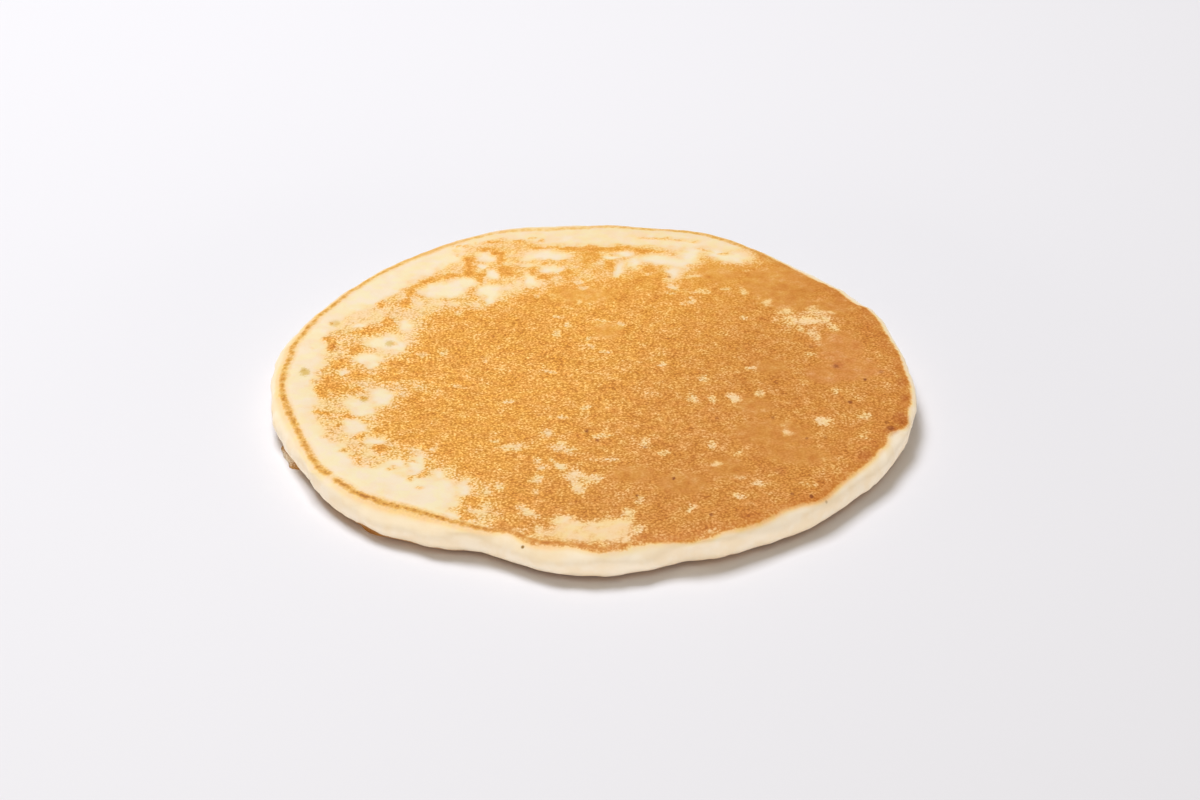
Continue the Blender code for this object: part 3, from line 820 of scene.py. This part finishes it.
# How far the grain sways the browning: most in the half-browned lace, less on the dense brown.
sway = 0.04 + 0.46 * browning.ease(-0.65, -0.15) - 0.26 * browning.ease(0.1, 0.5)
calm = rearward.ease(15 * MM, 60 * MM) * REAR_CALM
sway = sway * (1.0 - calm) * (1.0 - SMOOTHING * smooth_crust)
tatters = cloud(TATTER_SIZE) - 0.5
ragged = edge + tatters * RAGGED_EDGE
line = edge + tatters * RAGGED_RING
browned = (0.5 + 0.5 * browning + sway * grain) * ragged.ease(-0.7, 0.6)

# The ring is the brown line inside the crust's edge, and the fringe the golden fade beside it.
spotted = 0.52 + 0.34 * cloud(1.4).ease(0.35, 0.65) + 0.32 * cloud(6.0) + 0.1 * grain
core = line.ease(2.8, 1.3) * line.ease(-0.5, 1.1) * ring_strength * spotted
fringe = ragged.ease(3.4, 1.5) * edge.ease(-1.9, 0.9) * fringe_strength
browned = browned.larger(core).larger(fringe)
even = 1.0 - SMOOTHING * smooth_crust.larger(edge.ease(3.2, 1.6))
# Painted light and shade of the grain's fine relief: its bubbles are brightened and its pits
# darkened.
grain_light_and_shade = 1.0 - (0.58 - 0.7 * calm - 0.12 * tone) * grain * browned.ease(0.1, 0.6) * even

# The browning gives the colour. The right side is duller and deeper, and the grain's tiny pits are
# more golden than its bubbles. Its bubbles are painted lighter and its pits darker, a painted
# light and shade of the grain's fine relief.
face = browned.node("ShaderNodeValToRGB", {"stops": BROWNING}, {0: browned})
tint = (tone * browned.ease(0.2, 0.7)).mix(WHITE, RIGHT_TINT)
# The smooth crust at the right gets its painted sheen here, and the grain its painted light and
# shade.
face = face.times(tint).times(painted_sheen.mix(WHITE, SHEEN_TINT)).times(grain_light_and_shade)
face = face.times(cloud(3.5).ease(0.4, 0.6).mix(WARM_TINT, ROSY_TINT))
near_edge = (edge + (patchy - 0.5) * EDGE_WANDER).ease(7.0, 1.0) * tone * browned.ease(0.5, 0.8)
face = face.times(near_edge.mix(WHITE, EDGE_TINT))
face = face.times((core * (1.0 - tone)).mix(WHITE, RING_TINT))
deep = grain.ease(-0.1, 0.45) * browned.ease(0.5, 0.75) * even
face = face.times(deep.mix(WHITE, DEEP_TINT))

# The marks are longer from front to back than they are wide, so their distances are taken on a
# plan that is flattened by this much.
MARK_DEPTH = 1.5
flatten = (1.0, 1.0 / MARK_DEPTH, 0.0)
flat = place.node("ShaderNodeVectorMath", {"operation": "MULTIPLY"}, {0: place, 1: flatten})
marks = [(mark, SCORCH_TINT) for mark in SCORCHES]
marks += [(mark, STAIN_TINT) for mark in STAINS]
marks += [(mark, SPECK_TINT) for mark in SPECKS]
for (x, y, size, darkness), mark_tint in marks:
    away = flat.distance((x * MM, y * MM / MARK_DEPTH, 0.0))
    away = away + (fine - 0.5) * (0.5 * size * MM)
    cover = away.ease(0.5 * size * MM, 0.15 * size * MM) * darkness
    face = face.times(cover.mix(WHITE, mark_tint))

# The wall is plain pale crumb, a little hazy below the crust's edge. The underside is browned.
wall = cloud(4.0, 5.0).ease(0.35, 0.65).mix(WALL, WALL_SHADE)
wall = wall.times((edge.ease(-4.5, -0.8) * haze_strength).mix(WHITE, HAZE_TINT))
wall_share = edge.ease(-0.3, -1.6)
colour = wall_share.mix(face, wall)
# Dark specks on the wall, and the painted shade of its small pits and holes.
for x, y, z, size, darkness in WALL_SPECKS_AND_PIT_SHADE:
    away = place.distance((x * MM, y * MM, z * MM))
    cover = away.ease(0.6 * size * MM, 0.2 * size * MM) * darkness
    colour = colour.times(cover.mix(WHITE, SPECK_AND_PIT_SHADE_TINT))
bottom = (0.6 * cloud(7.0, 3.0) + 0.4 * fine).ease(0.35, 0.65).mix(UNDERSIDE, UNDERSIDE_DARK)
colour = (underside + (fine - 0.5) * 0.8).ease(0.3, 0.7).mix(colour, bottom)
crust_tree.links.new(colour.socket, crust_shader.inputs["Base Color"])

# Fine bump for the tiny bubbles and the crumb's pores, and a matt finish.
BUMP_STRENGTH = 0.35
BUMP_DEPTH = 0.08 * MM
BUBBLE_LEVEL = 0.6
FINE_BUMP = 0.3
PORE_BUMP = 1.5
PORE_SIZE = 1.5
ROUGHNESS = 0.62
SPECULAR = 0.25
pores = cloud(PORE_SIZE, 5.0) * wall_share * PORE_BUMP
height_map = (BUBBLE_LEVEL - bubbles) * browned + fine * FINE_BUMP + pores
bump_sockets = {"Strength": BUMP_STRENGTH, "Distance": BUMP_DEPTH, "Height": height_map}
bump = paint.node("ShaderNodeBump", None, bump_sockets)
crust_tree.links.new(bump.socket, crust_shader.inputs["Normal"])
crust_shader.inputs["Roughness"].default_value = ROUGHNESS
crust_shader.inputs["Specular IOR Level"].default_value = SPECULAR

pancake_mesh.materials.append(crust_material)
pancake = bpy.data.objects.new("pancake_visual", pancake_mesh)
bpy.context.scene.collection.objects.link(pancake)
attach(pancake, "root")
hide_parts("pancake")

# The floor: a wide plain pale surface that the pancake lies on. It isn't part of the object.
FLOOR_SIZE = 4.0
FLOOR_COLOUR = (0.79, 0.79, 0.84, 1.0)
FLOOR_ROUGHNESS = 0.6
floor_bm = bmesh.new()
bmesh.ops.create_grid(floor_bm, x_segments=1, y_segments=1, size=FLOOR_SIZE / 2)
floor_mesh = bpy.data.meshes.new("floor")
floor_bm.to_mesh(floor_mesh)
floor_bm.free()
floor_material = bpy.data.materials.new("pale_floor")
floor_material.use_nodes = True
floor_shader = floor_material.node_tree.nodes["Principled BSDF"]
floor_shader.inputs["Base Color"].default_value = FLOOR_COLOUR
floor_shader.inputs["Roughness"].default_value = FLOOR_ROUGHNESS
floor_mesh.materials.append(floor_material)
floor = bpy.data.objects.new("floor", floor_mesh)
bpy.context.scene.collection.objects.link(floor)

# The camera looks down from the front at 29.6 degrees, as the photo does.
TARGET = Vector((1.7 * MM, -13.7 * MM, 7.8 * MM))
ELEVATION = math.radians(29.6)
DISTANCE = 0.650
ROLL = math.radians(0.96)
LENS = 85.8
SENSOR_WIDTH = 36.0
NEAREST = 0.05
camera_data = bpy.data.cameras.new("camera")
camera_data.lens = LENS
camera_data.sensor_width = SENSOR_WIDTH
camera_data.clip_start = NEAREST
camera = bpy.data.objects.new("camera", camera_data)
back = Vector((0.0, -math.cos(ELEVATION), math.sin(ELEVATION)))
camera.location = TARGET + DISTANCE * back
turned = back.to_track_quat("Z", "Y").to_matrix()
camera.rotation_euler = (turned @ Matrix.Rotation(ROLL, 3, "Z")).to_euler()
bpy.context.scene.collection.objects.link(camera)
bpy.context.scene.camera = camera

# Soft studio light: a panel high at the rear left, two low strips at the front corners, and a
# plain warm surround. Each panel has a place, width, depth, power and colour.
SURROUND_COLOUR = (1.0, 0.90, 0.72, 1.0)
SURROUND_STRENGTH = 0.29
PANELS = (
    ("rear_panel", (-0.33, 0.45, 1.25), 0.65, 0.65, 17.7, (0.95, 0.965, 1.0)),
    ("left_strip", (-1.25, -1.05, 0.14), 1.8, 0.2, 10.8, (1.0, 0.93, 0.82)),
    ("right_strip", (1.25, -1.05, 0.14), 1.8, 0.2, 11.8, (1.0, 0.93, 0.84)),
)
for name, location, width, depth, power, colour in PANELS:
    panel_data = bpy.data.lights.new(name, "AREA")
    panel_data.shape = "RECTANGLE"
    panel_data.size = width
    panel_data.size_y = depth
    panel_data.energy = power
    panel_data.color = colour
    panel = bpy.data.objects.new(name, panel_data)
    panel.location = location
    panel.rotation_euler = Vector(location).to_track_quat("Z", "Y").to_euler()
    bpy.context.scene.collection.objects.link(panel)
surround = bpy.data.worlds.new("surround")
surround.use_nodes = True
surround.node_tree.nodes["Background"].inputs["Color"].default_value = SURROUND_COLOUR
surround.node_tree.nodes["Background"].inputs["Strength"].default_value = SURROUND_STRENGTH
bpy.context.scene.world = surround
bpy.context.scene.view_settings.view_transform = "Standard"
